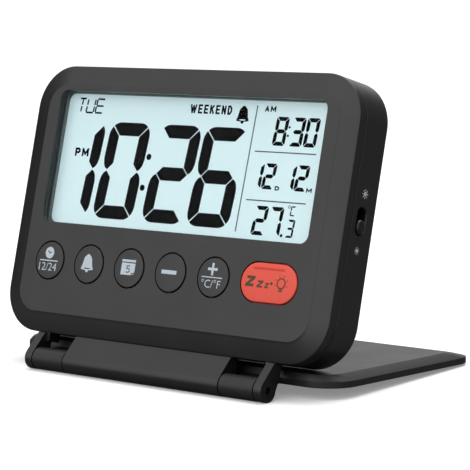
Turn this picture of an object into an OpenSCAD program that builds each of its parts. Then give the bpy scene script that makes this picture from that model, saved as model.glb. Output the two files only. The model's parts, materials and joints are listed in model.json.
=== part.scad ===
// Folding desk and travel alarm clock with a wide display.
// The clock body leans back on a flat stand. The stand turns round a barrel
// hinge below the body until it covers the display.
// X runs along the width, the display faces -Y, +Z is up. Millimetres.

/* [Clock body] */
// Width of the clock body
body_w = 136; // [130:1:142]
// Height of the clock body, along its face
body_h = 90.4; // [88:0.2:96]
// Thickness of the clock body, from the flat panel to the back
body_t = 17.5; // [17.3:0.1:19]
// Outer corner radius of the body
corner_r = 14.5; // [12:0.5:16]
// Width of the sloping bevel round the flat panel
bevel_w = 6.4; // [5:0.2:7]
// How far the bevel falls back at the outer edge
bevel_d = 2; // [1:0.1:2.2]
// Angle by which the clock body leans back from the vertical
lean = 15.9; // [15.7:0.1:16.4]

/* [Display] */
// Width of the display window
window_w = 113; // [108:1:114]
// Height of the display window
window_h = 44.8; // [42:0.2:45]
// Height of the window's lower edge above the body's lower edge
window_v = 36.9; // [36.8:0.1:37.5]
// Corner radius of the display window
window_r = 3; // [1.5:0.1:4]

/* [Buttons] */
// Diameter of the round buttons
button_d = 12.4; // [10:0.2:13]
// Distance between the round buttons
button_pitch = 17.84; // [16:0.02:18]
// Position of the first round button left of the middle
button_first_x = 49.5; // [48:0.1:51]
// Height of the button row above the body's lower edge
button_v = 23.9; // [22:0.1:24]
// Position of the snooze button right of the middle
snooze_x = 44.2; // [44:0.1:46]
// Width of the snooze button
snooze_w = 21.8; // [20:0.2:22]
// Height of the snooze button
snooze_h = 12.2; // [12:0.2:14]
// Width of the gap round each button
button_gap = 0.4; // [0.25:0.05:0.5]
// How far a button can be pressed in
button_travel = 0.5; // [0.3:0.1:0.7]

/* [Slider] */
// Height of the slider slot's middle above the body's lower edge
slot_v = 46.3; // [44:0.1:50]
// Length of the slider slot
slot_l = 8.8; // [8:0.1:10]
// Width of the slider slot
slot_w = 4.6; // [4:0.1:5]
// Depth of the slot's middle behind the flat panel
slot_d = 10.1; // [9.8:0.1:10.6]

/* [Hinge] */
// Radius of the hinge barrel
barrel_r = 3.7; // [3.5:0.1:3.8]
// Distance of the hinge axis below the body's lower edge
axis_drop = 8.8; // [8.7:0.1:9.2]
// Length of the hinge over its two end arms
hinge_l = 100.6; // [98:0.2:104]
// Thickness of each end arm
arm_t = 3; // [2.7:0.1:4]
// Length of the centre block
block_l = 66; // [60:0.2:70]
// Radius of the hinge pins
pin_r = 1.2; // [1:0.1:1.3]
// Gap at each side of a stand knuckle, which a washer fills in part
knuckle_gap = 0.45; // [0.4:0.05:0.6]

/* [Stand] */
// Distance of the stand's rear edge behind the hinge axis
stand_rear = 86; // [80:0.5:88]
// Distance of the stand's front edge behind the hinge axis
stand_front = 9.9; // [9.5:0.1:10.5]
// Height of the stand's underside above the hinge axis
stand_low = 0.7; // [0.65:0.05:0.9]
// Thickness of the stand's lower shell, which is its straight side wall
base_t = 1.95; // [1.8:0.05:2]
// Thickness of the stand's bevelled cover
cover_t = 2.1; // [1.9:0.05:2.1]
// Radius of the stand's front corners
stand_r = 11; // [8:0.5:12]
// Radius of the stand's rear corners
stand_rear_r = 7; // [5.5:0.5:9]
// Width of the slope along the stand's rear edge
bevel_rear = 9.5; // [6:0.5:12]
// Angle by which the stand falls towards its rear edge
stand_fall = 2.6; // [2.5:0.05:2.7]

/* [Hidden] */
$fn = 48;

// Everything hangs from the hinge axis, which lies in the panel's plane.
hinge_y = -(stand_rear - barrel_r) / 2;
axis_z = barrel_r;

// Depths in the body, counted from the flat panel
panel_t = 2.2;
bezel_rear = 5.2;
shell_front = 5.5;
wall = 2;
back_wall = 1.7;
rear_round = 1.5;
lens_t = 1;
holder_front = panel_t + lens_t;
lcd_front = 4.4;
lcd_t = 2;
backlight_t = 2.6;
holder_rear = lcd_front + lcd_t + backlight_t + 1.2;
board_front = 3.7;
board_t = 1;
board_rear = board_front + board_t;

// Battery compartment: two AAA cells side by side, one above the other
cell_r = 5.15;
cell_l = 44.5;
cell_d = 10.35;
cell_gap = 0.5;
cells_x = 0;
cells_v = 22;
cell_v_low = cells_v - cell_r - cell_gap / 2;
cell_v_high = cells_v + cell_r + cell_gap / 2;
tray_w = cell_l + 9;
tray_h = 4 * cell_r + cell_gap + 3;
door_w = tray_w - 4;
door_low = cells_v - tray_h / 2 + 1.5;
door_high = cells_v + tray_h / 2 - 1.5;
door_t = 1.4;
door_gap = 0.3;
door_axis_d = body_t - door_t / 2;
door_axis_v = door_low + door_t / 2;
trunnion_r = 0.4;

charcoal = [0.25, 0.25, 0.26];
black = [0.08, 0.08, 0.09];
steel = [0.75, 0.76, 0.78];

// Body space: X as in the frame, Y is the depth behind the panel, Z runs
// up the face from the body's lower edge.
module in_body() {
    translate([0, hinge_y, axis_z])
        rotate([-lean, 0, 0])
            translate([0, 0, axis_drop])
                children();
}

// Stand space: Y runs back from the hinge axis, Z is normal to the stand.
module in_stand() {
    translate([0, hinge_y, axis_z])
        rotate([-stand_fall, 0, 0])
            children();
}

// Flat outline with round corners, centred on the origin
module round_rect(w, h, r, n = 48) {
    union() {
        square([w - 2 * r, h], center = true);
        square([w, h - 2 * r], center = true);
        for (sx = [-1, 1], sy = [-1, 1])
            translate([sx * (w / 2 - r), sy * (h / 2 - r)])
                circle(r, $fn = n);
    }
}

// Slab of body space: outline in X and Z, from depth d0 to depth d1
module body_slab(w, h, r, d0, d1, x = 0, v = body_h / 2, n = 48) {
    translate([x, d1, v])
        rotate([90, 0, 0])
            linear_extrude(d1 - d0)
                round_rect(w, h, r, n);
}

// Box in body space given by its middle in X and Z and its depths
module body_box(w, h, d0, d1, x = 0, v = 0) {
    translate([x - w / 2, d0, v - h / 2])
        cube([w, d1 - d0, h]);
}

// Cylinder along the depth of the body
module body_rod(r, d0, d1, x, v) {
    translate([x, d1, v])
        rotate([90, 0, 0])
            cylinder(r = r, h = d1 - d0);
}

// Cylinder along X, centred at x
module x_rod(r, l, x = 0) {
    translate([x - l / 2, 0, 0])
        rotate([0, 90, 0])
            cylinder(r = r, h = l);
}

// Stadium along X or Z, extruded over the depth
module stadium_x(w, h, d0, d1, x, v) {
    body_slab(w, h, h / 2 - 0.001, d0, d1, x, v);
}

function button_x(i) = -button_first_x + i * button_pitch;
// Case screws: posts on the bezel, bosses on the rear shell
screw_x = body_w / 2 - 5.5;
case_screw_v = [13.4, body_h - 13.4];
post_r = 2.4;
post_rear = 6.9;
screw_r = 1.1;
head_front = 13.6;

// ---- casing ----

module bezel_outline() {
    hull() {
        body_slab(body_w - 2 * bevel_w, body_h - 2 * bevel_w, corner_r - bevel_w, 0, 0.1, n = 32);
        body_slab(body_w - bevel_w * 0.7, body_h - bevel_w * 0.7, corner_r - bevel_w * 0.35,
            bevel_d * 0.4, bevel_d * 0.4 + 0.1, n = 32);
        body_slab(body_w, body_h, corner_r, bevel_d, bezel_rear, n = 32);
    }
}

module front_bezel() {
    color(charcoal)
        in_body()
            difference() {
                union() {
                    difference() {
                        bezel_outline();
                        body_slab(body_w - 2 * wall, body_h - 2 * wall, corner_r - wall,
                            panel_t, bezel_rear + 1);
                    }
                    for (sx = [-1, 1], v = case_screw_v)
                        body_rod(post_r, panel_t - 0.2, post_rear, sx * screw_x, v);
                }
                for (sx = [-1, 1], v = case_screw_v)
                    body_rod(screw_r, panel_t, post_rear + 1, sx * screw_x, v);
                body_slab(window_w, window_h, window_r, -1, panel_t + 1, 0, window_v + window_h / 2);
                for (i = [0 : 4])
                    body_rod(button_d / 2 + button_gap, -1, panel_t + 1, button_x(i), button_v);
                stadium_x(snooze_w + 2 * button_gap, snooze_h + 2 * button_gap, -1, panel_t + 1,
                    snooze_x, button_v);
                // holes for the hinge screws in the lower wall
                for (x = hinge_screw_x)
                    translate([x, hinge_screw_d, -1])
                        cylinder(r = hinge_screw_r, h = wall + 2);
            }
}

module rear_shell() {
    color(charcoal)
        in_body()
            difference() {
                union() {
                    difference() {
                        shell_outline();
                        body_slab(body_w - 2 * wall, body_h - 2 * wall, corner_r - wall, shell_front - 1,
                            body_t - back_wall);
                    }
                    shell_lip();
                    for (sx = [-1, 1], v = case_screw_v)
                        body_rod(post_r + 0.4, post_rear + 0.1, body_t - back_wall + 0.2, sx * screw_x, v);
                }
                for (sx = [-1, 1], v = case_screw_v) {
                    body_rod(screw_r + 0.2, 0, body_t + 1, sx * screw_x, v);
                    body_rod(screw_r + 1.4, head_front, body_t + 1, sx * screw_x, v);
                }
                door_opening();
                // slot for the slider in the right wall
                side_slab(slot_l, slot_w, slot_w / 2 - 0.001, body_w / 2 - wall - 1, body_w / 2 + 1, slot_v);
                // sound holes for the buzzer
                for (i = [-1 : 1], j = [-1 : 1])
                    body_rod(0.7, body_t - 3, body_t + 1, buzzer_x + i * 3, buzzer_v + j * 3);
            }
}

module shell_outline() {
    hull() {
        body_slab(body_w, body_h, corner_r, shell_front, body_t - rear_round, n = 32);
        body_slab(body_w - 0.6 * rear_round, body_h - 0.6 * rear_round, corner_r - 0.3 * rear_round,
            body_t - 0.3 * rear_round - 0.1, body_t - 0.3 * rear_round, n = 32);
        body_slab(body_w - 2 * rear_round, body_h - 2 * rear_round, corner_r - rear_round,
            body_t - 0.1, body_t, n = 32);
    }
}

// Lip on the shell's rim that enters the bezel
module shell_lip() {
    lip_t = 1;
    difference() {
        union() {
            body_slab(body_w - 2 * wall - 0.1, body_h - 2 * wall - 0.1, corner_r - wall,
                bezel_rear - 0.55, shell_front + 1);
            body_slab(body_w - 2 * wall + 0.4, body_h - 2 * wall + 0.4, corner_r - wall,
                shell_front, shell_front + 1);
        }
        body_slab(body_w - 2 * wall - 2 * lip_t, body_h - 2 * wall - 2 * lip_t, corner_r - wall - lip_t,
            panel_t, shell_front + 2);
    }
}

// Opening in the back for the door, its trunnions and the battery tray
module door_opening() {
    body_box(door_w + 2 * door_gap, door_high - door_low + 2 * door_gap, body_t - back_wall - 1, body_t + 1,
        cells_x, (door_low + door_high) / 2);
    translate([cells_x, door_axis_d, door_axis_v])
        x_rod(trunnion_r + 0.08, door_w + 2 * door_gap + 2.6);
}

module battery_door() {
    color(charcoal)
        in_body()
            difference() {
                union() {
                    body_box(door_w, door_high - door_axis_v, body_t - door_t, body_t,
                        cells_x, (door_high + door_axis_v) / 2);
                    translate([cells_x, door_axis_d, door_axis_v]) {
                        x_rod(door_t / 2, door_w);
                        x_rod(trunnion_r, door_w + 2 * door_gap + 2);
                    }
                }
                // finger notch at the upper edge
                translate([cells_x, body_t + 3.4, door_high - 2])
                    x_rod(4, 12);
            }
}

module case_screws() {
    color(steel)
        in_body()
            for (sx = [-1, 1], v = case_screw_v)
                difference() {
                    union() {
                        body_rod(screw_r - 0.02, panel_t + 0.6, head_front, sx * screw_x, v);
                        body_rod(screw_r + 1.1, head_front, head_front + 1.4, sx * screw_x, v);
                    }
                    body_box(2.6, 0.6, head_front + 0.7, body_t, sx * screw_x, v);
                    body_box(0.6, 2.6, head_front + 0.7, body_t, sx * screw_x, v);
                }
}

// ---- display ----

window_mid = window_v + window_h / 2;

module window_lens() {
    color([0.85, 0.9, 0.92])
        in_body()
            body_slab(window_w + 5, window_h + 4, 1, panel_t, panel_t + lens_t, 0, window_mid);
}

module display_holder() {
    color([0.45, 0.5, 0.5])
        in_body()
            difference() {
                body_slab(window_w + 5, window_h + 4, 1, holder_front, holder_rear, 0, window_mid);
                body_slab(window_w - 0.4, window_h - 0.4, 0.5, holder_front - 1, lcd_front + 1, 0, window_mid);
                body_slab(window_w + 2.6, window_h + 2.2, 0.5, lcd_front, lcd_front + lcd_t + backlight_t,
                    0, window_mid);
                body_slab(window_w - 8, window_h - 8, 2, lcd_front, lcd_front + 20, 0, window_mid);
            }
}

module lcd_glass() {
    color([0.82, 0.9, 0.93])
        in_body()
            body_slab(window_w + 2.4, window_h + 2, 0.3, lcd_front, lcd_front + lcd_t, 0, window_mid);
}

module backlight_panel() {
    color([0.95, 0.97, 1])
        in_body()
            difference() {
                body_slab(window_w + 2.4, window_h + 2, 0.3, lcd_front + lcd_t,
                    lcd_front + lcd_t + backlight_t, 0, window_mid);
                for (v = led_v)
                    body_box(led_w + 2, led_h + 0.4, lcd_front + lcd_t + 0.3, lcd_front + lcd_t + 9,
                        window_w / 2 + 0.4, v);
            }
}

led_w = 1.6;
led_h = 3.2;
led_v = [for (i = [-1 : 1]) window_mid + i * 13];

module backlight_leds() {
    color([0.95, 0.95, 0.8])
        in_body()
            for (v = led_v)
                body_box(led_w, led_h, lcd_front + lcd_t + 0.5, lcd_front + lcd_t + 2.3,
                    window_w / 2 + 0.3, v);
}

// Ribbon from the main board round the holder's lower edge to its back
ribbon_w = 60;
ribbon_x = -8;
ribbon_v = window_mid - window_h / 2 - 2.4;

module display_ribbon() {
    color([0.75, 0.5, 0.2])
        in_body() {
            body_box(ribbon_w, 9.7, board_rear, board_rear + 0.15, ribbon_x, ribbon_v - 4.75);
            body_box(ribbon_w, 0.2, board_rear, holder_rear + 0.2, ribbon_x, ribbon_v);
            body_box(ribbon_w, 8, holder_rear + 0.05, holder_rear + 0.2, ribbon_x, ribbon_v + 3.9);
        }
}

// ---- electronics ----

board_w = 116;
board_low = 12.2;
board_high = 34;
board_screw_x = [-40, 40];
board_screw_v = 14.8;

module main_board() {
    color([0.1, 0.35, 0.2])
        in_body()
            difference() {
                body_box(board_w, board_high - board_low, board_front, board_rear, 0,
                    (board_high + board_low) / 2);
                for (x = board_screw_x)
                    body_rod(1.3, 0, 9, x, board_screw_v);
            }
}

module board_screws() {
    color(steel)
        in_body()
            for (x = board_screw_x) {
                body_rod(1.2, panel_t, board_rear, x, board_screw_v);
                body_rod(2.2, board_rear, board_rear + 1.2, x, board_screw_v);
            }
}

module dome_switches() {
    color(steel)
        in_body() {
            for (i = [0 : 4])
                body_rod(2.5, dome_front, board_front, button_x(i), button_v);
            body_rod(2.5, dome_front, board_front, snooze_x, button_v);
        }
}

module control_chip() {
    color(black)
        in_body()
            body_box(9, 9, board_rear, board_rear + 1.4, 46.5, 22);
}

module crystal_can() {
    color(steel)
        in_body()
            translate([38, board_rear + 1.1, 27])
                x_rod(1, 6);
}

module temperature_sensor() {
    color([0.1, 0.25, 0.4])
        in_body() {
            body_rod(1.4, board_rear, board_rear + 2.4, -52, 16);
        }
}

buzzer_x = 44;
buzzer_v = 58;

module buzzer() {
    color(black)
        in_body()
            difference() {
                body_rod(6, 10.4, body_t - back_wall, buzzer_x, buzzer_v);
                body_rod(1.2, 13, body_t, buzzer_x, buzzer_v);
            }
}

knob_w = 4.1;
knob_l = 4.8;
knob_rest_v = slot_v - slot_l / 2 + 0.2 + knob_l / 2;
knob_out = 0.9;
slider_inner = body_w / 2 - wall - 1.6;

// Slab with its outline along the depth and height, from x0 to x1
module side_slab(l, w, r, x0, x1, v = knob_rest_v) {
    translate([x0, slot_d, v])
        rotate([0, 90, 0])
            linear_extrude(x1 - x0)
                round_rect(l, w, r);
}

module slide_switch() {
    color(steel)
        in_body()
            translate([0, 0, slot_v])
                difference() {
                    body_box(4.4, 11, slot_d - 2.8, slot_d + 2.8, slider_inner - 3, 0);
                    body_box(2.3, 9.6, slot_d - 1.2, slot_d + 1.2, slider_inner - 1.6, 0);
                }
}

module brightness_slider() {
    color(black)
        in_body() {
            side_slab(knob_l, knob_w, knob_w / 2 - 0.001, slider_inner + 1, body_w / 2 + knob_out);
            side_slab(knob_l + 1.2, knob_w + 1.4, 1, slider_inner + 0.2, slider_inner + 1.3);
            // stem that enters the switch
            body_box(2, 1.6, slot_d - 0.9, slot_d + 0.9, slider_inner - 0.6, knob_rest_v);
        }
}

// ---- batteries ----

tray_front = board_rear + 0.3;

module battery_tray() {
    color(black)
        in_body()
            difference() {
                body_box(tray_w, tray_h, tray_front, body_t - back_wall, cells_x, cells_v);
                body_box(cell_l + 6, 4 * cell_r + cell_gap + 0.4, tray_front + 0.15, body_t + 1,
                    cells_x, cells_v);
            }
}

module cell(v, way) {
    nub = 0.8;
    translate([cells_x, cell_d, v])
        mirror([way < 0 ? 1 : 0, 0, 0]) {
            x_rod(cell_r, cell_l - nub, -nub / 2);
            x_rod(1.9, nub + 0.4, cell_l / 2 - nub / 2 - 0.2);
        }
}

module battery_upper() {
    color([0.8, 0.5, 0.2])
        in_body()
            cell(cell_v_high, 1);
}

module battery_lower() {
    color([0.8, 0.5, 0.2])
        in_body()
            cell(cell_v_low, -1);
}

// Conical spring, pressed together by the cell until its turns touch
module spring_at(x, v) {
    turns = 4;
    wire_r = 0.3;
    translate([x, cell_d, v])
        rotate([0, 90, 0])
            for (i = [0 : turns - 1])
                translate([0, 0, (i - (turns - 1) / 2) * 1.9 * wire_r])
                    rotate_extrude()
                        translate([2.6 + 0.15 * i, 0])
                            circle(wire_r, $fn = 16);
}

module battery_springs() {
    color(steel)
        in_body() {
            spring_at(cells_x - cell_l / 2 - 1.5, cell_v_high);
            mirror([1, 0, 0])
                spring_at(-cells_x - cell_l / 2 - 1.5, cell_v_low);
        }
}

module battery_contacts() {
    color(steel)
        in_body()
            for (sx = [-1, 1])
                body_box(0.3, 19, tray_front + 1, body_t - 3, cells_x + sx * (cell_l / 2 + 2.85), cells_v);
}

// ---- buttons ----

button_out = 0.25;
flange_rear = panel_t + 0.45;
dome_front = flange_rear + button_travel + 0.05;

module button_cap(x) {
    body_rod(button_d / 2, -button_out, panel_t + 0.1, x, button_v);
    body_rod(button_d / 2 + 1, panel_t + 0.02, flange_rear, x, button_v);
}

module time_button() { color(charcoal) in_body() button_cap(button_x(0)); }
module alarm_button() { color(charcoal) in_body() button_cap(button_x(1)); }
module calendar_button() { color(charcoal) in_body() button_cap(button_x(2)); }
module minus_button() { color(charcoal) in_body() button_cap(button_x(3)); }
module plus_button() { color(charcoal) in_body() button_cap(button_x(4)); }

module snooze_button() {
    color([0.94, 0.35, 0.27])
        in_body() {
            stadium_x(snooze_w, snooze_h, -button_out - 0.15, panel_t + 0.1, snooze_x, button_v);
            stadium_x(snooze_w + 2, snooze_h + 2, panel_t + 0.02, flange_rear, snooze_x, button_v);
        }
}

// ---- hinge ----

hinge_screw_r = 0.9;
hinge_screw_d = 3.4;
arm_x = (hinge_l - arm_t) / 2;
arm_screw_x = arm_x - 0.2;
hinge_screw_x = [-arm_screw_x, -24, 24, arm_screw_x];

// Side profile of the arms and the block, from the hinge axis: a round
// barrel whose front runs on in a tangent to the body's lower edge
profile_top = axis_drop - 0.02;
profile_nose = [1, profile_top - 0.13];
profile_lip_d = 2;
profile_rear_d = 5;
profile_heel = [4.6, 3.9];
nose_angle = atan2(profile_nose.y, profile_nose.x) + acos(barrel_r / norm(profile_nose));

module knuckle_profile() {
    translate([0, -axis_drop])
        union() {
            circle(barrel_r);
            polygon([profile_nose, barrel_r * [cos(nose_angle), sin(nose_angle)], [0, 0],
                barrel_r * [cos(5), sin(5)], profile_heel, [profile_rear_d, profile_top],
                [profile_lip_d, profile_top]]);
        }
}

module knuckle(l, x) {
    translate([x - l / 2, 0, 0])
        rotate([90, 0, 90])
            linear_extrude(l)
                knuckle_profile();
}

module axis_bore(r, l, x) {
    translate([0, 0, -axis_drop])
        x_rod(r, l, x);
}

module hinge_arm(side) {
    in_body()
        difference() {
            union() {
                knuckle(arm_t, side * arm_x);
                // inner foot below the body
                body_box(1.6, 2.8, profile_lip_d, 7.2, side * (arm_x - arm_t / 2 - 0.4), -1.42);
            }
            axis_bore(pin_r, 20, side * arm_x);
            translate([side * arm_screw_x, hinge_screw_d, -4])
                cylinder(r = hinge_screw_r - 0.1, h = 5);
        }
}

module hinge_arm_left() { color(charcoal) hinge_arm(-1); }
module hinge_arm_right() { color(charcoal) hinge_arm(1); }

pin_in_block = 6;
pin_outer = hinge_l / 2 - 0.8;
pin_inner = block_l / 2 - pin_in_block;

module hinge_block() {
    color(charcoal)
        in_body()
            difference() {
                knuckle(block_l, 0);
                for (side = [-1, 1]) {
                    axis_bore(pin_r, 2 * pin_in_block, side * block_l / 2);
                    translate([side * 24, hinge_screw_d, -4])
                        cylinder(r = hinge_screw_r - 0.1, h = 5);
                }
            }
}

module hinge_screws() {
    color(steel)
        in_body()
            for (x = hinge_screw_x)
                translate([x, hinge_screw_d, 0]) {
                    translate([0, 0, -3.5])
                        cylinder(r = hinge_screw_r - 0.12, h = 3.5 + wall);
                    translate([0, 0, wall])
                        cylinder(r = 1.2, h = 1);
                }
}

module hinge_pins() {
    color(steel)
        in_body()
            for (side = [-1, 1])
                axis_bore(pin_r - 0.01, pin_outer - pin_inner, side * (pin_outer + pin_inner) / 2);
}

knuckle_out = hinge_l / 2 - arm_t - knuckle_gap;
knuckle_in = block_l / 2 + knuckle_gap;
washer_t = 0.3;

module hinge_washers() {
    color([0.9, 0.9, 0.88])
        in_body()
            for (side = [-1, 1], x = [knuckle_in - knuckle_gap + washer_t / 2,
                                      knuckle_out + knuckle_gap - washer_t / 2])
                difference() {
                    axis_bore(barrel_r - 0.7, washer_t, side * x);
                    axis_bore(pin_r + 0.05, washer_t + 1, side * x);
                }
}

// ---- stand ----

bevel_side = 3.4;
bevel_front = 0.8;

// Slab of stand space from y0 to y1, with its front and rear corner radii
module stand_slab(w, y0, y1, r, rear_r, z0, z1, n = 48) {
    translate([0, 0, z0])
        linear_extrude(z1 - z0)
            union() {
                translate([0, (y0 + y1 - rear_r) / 2])
                    round_rect(w, y1 - rear_r - y0, r, n);
                translate([0, (y0 + r + y1) / 2])
                    round_rect(w, y1 - y0 - r, rear_r, n);
            }
}

module stand_base() {
    color(charcoal)
        in_stand()
            difference() {
                union() {
                    stand_slab(body_w, stand_front, stand_rear, stand_r, stand_rear_r, stand_low,
                        stand_low + base_t);
                    for (side = [-1, 1]) {
                        x0 = side > 0 ? knuckle_in : -knuckle_out;
                        translate([x0, 0, stand_low])
                            cube([knuckle_out - knuckle_in, stand_front + 3, base_t]);
                        x_rod(barrel_r, knuckle_out - knuckle_in, side * (knuckle_out + knuckle_in) / 2);
                    }
                }
                x_rod(pin_r + 0.04, hinge_l + 4);
                for (x = stand_screw_x, y = stand_screw_y)
                    translate([x, y, 0]) {
                        cylinder(r = 1.1, h = 9);
                        cylinder(r = 2.1, h = stand_low + 1.1);
                    }
                for (x = foot_x, y = foot_y)
                    translate([x, y, 0])
                        cylinder(r = foot_r + 0.1, h = stand_low + 0.5);
            }
}

module stand_cover() {
    top = stand_low + base_t + cover_t;
    color(charcoal)
        in_stand()
            difference() {
                hull() {
                    stand_slab(body_w, stand_front, stand_rear, stand_r, stand_rear_r,
                        stand_low + base_t, stand_low + base_t + 0.1, n = 32);
                    stand_slab(body_w - 0.8 * bevel_side, stand_front + 0.2 * bevel_front,
                        stand_rear - 0.4 * bevel_rear, stand_r - 1.2, stand_rear_r - 1.2,
                        top - 0.9, top - 0.8, n = 32);
                    stand_slab(body_w - 2 * bevel_side, stand_front + bevel_front,
                        stand_rear - bevel_rear, stand_r - 3.5, stand_rear_r - 3,
                        top - 0.1, top, n = 32);
                }
                for (x = stand_screw_x, y = stand_screw_y)
                    translate([x, y, 0])
                        cylinder(r = 0.8, h = stand_low + base_t + 1.2);
            }
}

stand_screw_x = [-48, 48];
stand_screw_y = [20, 66];

module stand_screws() {
    color(steel)
        in_stand()
            for (x = stand_screw_x, y = stand_screw_y)
                translate([x, y, stand_low]) {
                    translate([0, 0, 0.4])
                        cylinder(r = 1.9, h = 0.7);
                    translate([0, 0, 1.1])
                        cylinder(r = 0.8, h = base_t);
                }
}

foot_x = [-63, 63];
foot_y = [79];
foot_r = 2.2;

module stand_feet() {
    color([0.12, 0.12, 0.13])
        difference() {
            in_stand()
                for (x = foot_x, y = foot_y)
                    translate([x, y, -3])
                        cylinder(r = foot_r, h = stand_low + 0.5 + 3);
            translate([-body_w, -2 * body_w, -20])
                cube([2 * body_w, 4 * body_w, 20]);
        }
}

front_bezel();
rear_shell();
window_lens();
display_holder();
lcd_glass();
backlight_panel();
backlight_leds();
display_ribbon();
main_board();
control_chip();
crystal_can();
temperature_sensor();
buzzer();
dome_switches();
slide_switch();
board_screws();
battery_tray();
battery_springs();
battery_contacts();
battery_upper();
battery_lower();
battery_door();
case_screws();
time_button();
alarm_button();
calendar_button();
minus_button();
plus_button();
snooze_button();
brightness_slider();
hinge_arm_left();
hinge_arm_right();
hinge_block();
hinge_screws();
hinge_pins();
hinge_washers();
stand_base();
stand_cover();
stand_screws();
stand_feet();
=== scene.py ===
"""Folding desk and travel alarm clock: the moulded case, the lit display, the
buttons with their marks, the barrel hinge and the flat stand, round the CAD
frame."""

import json
import math

import bmesh
import bpy
from mathutils import Matrix, Vector


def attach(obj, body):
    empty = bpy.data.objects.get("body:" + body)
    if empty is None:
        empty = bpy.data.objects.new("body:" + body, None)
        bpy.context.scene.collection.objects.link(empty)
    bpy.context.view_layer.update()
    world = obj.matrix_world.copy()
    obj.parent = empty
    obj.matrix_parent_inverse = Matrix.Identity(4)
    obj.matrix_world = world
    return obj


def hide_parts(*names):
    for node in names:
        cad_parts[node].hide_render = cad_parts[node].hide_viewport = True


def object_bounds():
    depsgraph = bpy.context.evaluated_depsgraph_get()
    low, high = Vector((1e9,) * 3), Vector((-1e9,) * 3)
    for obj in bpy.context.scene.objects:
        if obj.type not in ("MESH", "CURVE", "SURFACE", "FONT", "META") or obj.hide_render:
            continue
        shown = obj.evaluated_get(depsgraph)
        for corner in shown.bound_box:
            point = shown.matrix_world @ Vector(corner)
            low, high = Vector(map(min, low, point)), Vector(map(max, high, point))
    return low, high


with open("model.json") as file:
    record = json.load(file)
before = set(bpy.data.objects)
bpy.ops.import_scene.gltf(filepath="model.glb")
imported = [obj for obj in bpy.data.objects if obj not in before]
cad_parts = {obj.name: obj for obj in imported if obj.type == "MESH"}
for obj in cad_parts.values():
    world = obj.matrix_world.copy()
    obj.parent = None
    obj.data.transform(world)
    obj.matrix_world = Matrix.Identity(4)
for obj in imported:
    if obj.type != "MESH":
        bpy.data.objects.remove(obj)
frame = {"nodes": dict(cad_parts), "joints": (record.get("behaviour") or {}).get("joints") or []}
CAD_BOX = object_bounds()

bl_info = {
    "name": "Folding alarm clock",
    "version": (1, 0, 0),
    "blender": (4, 5, 0),
    "location": "View3D > Sidebar > Clock",
    "description": "Builds a folding desk and travel alarm clock",
    "category": "Object",
}

MM = 0.001
JOINTS = {joint["name"]: joint for joint in frame["joints"]}
CLOCK, STAND = "clock_body", "stand"

# ---- spaces: the clock body leans back, and the stand falls to its rear ----

ACROSS = Vector((1, 0, 0))
BACK = Vector(JOINTS["time_press"]["axis"]).normalized()
UP = Vector(JOINTS["brightness_slide"]["axis"]).normalized()
HINGE = Vector(JOINTS["stand_hinge"]["pos_m"])


def reach(nodes, along, start):
    """Lowest and highest place of some CAD nodes along one direction, in mm."""
    places = [
        (corner.co - start).dot(along) / MM
        for name in nodes
        for corner in frame["nodes"][name].data.vertices
    ]
    return min(places), max(places)


def level_normal(node):
    """The direction that a node's broad upper face looks in."""
    total = Vector()
    for side in frame["nodes"][node].data.polygons:
        if side.normal.z > 0.99:
            total += side.normal * side.area
    return total.normalized()


# The body's lower edge lies above the hinge axis, in the plane of the panel.
BODY_FOOT = HINGE + UP * reach(["front_bezel"], UP, HINGE)[0] * MM
STAND_UP = level_normal("stand_cover")
STAND_BACK = STAND_UP.cross(ACROSS).normalized()


def on_body(x, v, depth):
    """Point of the clock body: across, up the face, and behind the panel."""
    return BODY_FOOT + (ACROSS * x + UP * v + BACK * depth) * MM


def on_glass(x, v, depth):
    """Point of the drawing on the glass, which sits a little off its middle."""
    return on_body(x + 0.25, v - 0.2, depth)


def on_side(depth, v, x):
    """Point of the clock body for shapes drawn on its right wall."""
    return on_body(x, v, depth)


def on_stand(x, y, z):
    """Point of the stand: across, back from the axis, and off its plane."""
    return HINGE + (ACROSS * x + STAND_BACK * y + STAND_UP * z) * MM


def span(node, start=BODY_FOOT, axes=(ACROSS, UP, BACK)):
    """Each axis's lowest and highest place of a CAD node, in mm."""
    return [reach([node], axis, start) for axis in axes]


def middle(low_high):
    return sum(low_high) / 2


# ---- sizes that come from the frame ----

SHELL_X, SHELL_V, SHELL_D = span("rear_shell")
BODY_W = SHELL_X[1] - SHELL_X[0]
BODY_H = SHELL_V[1] - SHELL_V[0]
BODY_T = SHELL_D[1]
BODY_MID = middle(SHELL_V)
LENS_X, LENS_V, LENS_D = span("window_lens")
GLASS_D = span("lcd_glass")[2]

# ---- sizes of the moulding ----

CORNER_R = 14.5
WALL = 2.0
PANEL_T = LENS_D[0]
BEZEL_RIM = 5.2
SHELL_RIM = 5.5
BACK_WALL = 1.7
REAR_ROUND = 1.5
WINDOW_OVERLAP = (2.5, 2.0)
BUTTON_GAP = 0.4
WINDOW_R = 3.0
FLANGE = 1.0
LIP_GAP, LIP_T, LIP_FRONT, LIP_REAR = 0.05, 1.0, 4.65, 6.5
POST_R, POST_REAR, SCREW_R = 2.4, 6.9, 1.1
HEAD_RECESS_R, HEAD_FRONT = 2.5, 13.6
BOSS_R, BOSS_FRONT = 3.0, 7.0
HOLD = 0.3

WINDOW_W = LENS_X[1] - LENS_X[0] - 2 * WINDOW_OVERLAP[0]
WINDOW_H = LENS_V[1] - LENS_V[0] - 2 * WINDOW_OVERLAP[1]
WINDOW_V = middle(LENS_V)
SCREWS_X, SCREWS_V, _ = span("case_screws")
SCREW_HEAD_R = 2.2
SCREW_PLACES = [
    (x, v)
    for x in (SCREWS_X[0] + SCREW_HEAD_R, SCREWS_X[1] - SCREW_HEAD_R)
    for v in (SCREWS_V[0] + SCREW_HEAD_R, SCREWS_V[1] - SCREW_HEAD_R)
]
ROUND_BUTTONS = ["time", "alarm", "calendar", "minus", "plus"]


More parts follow.
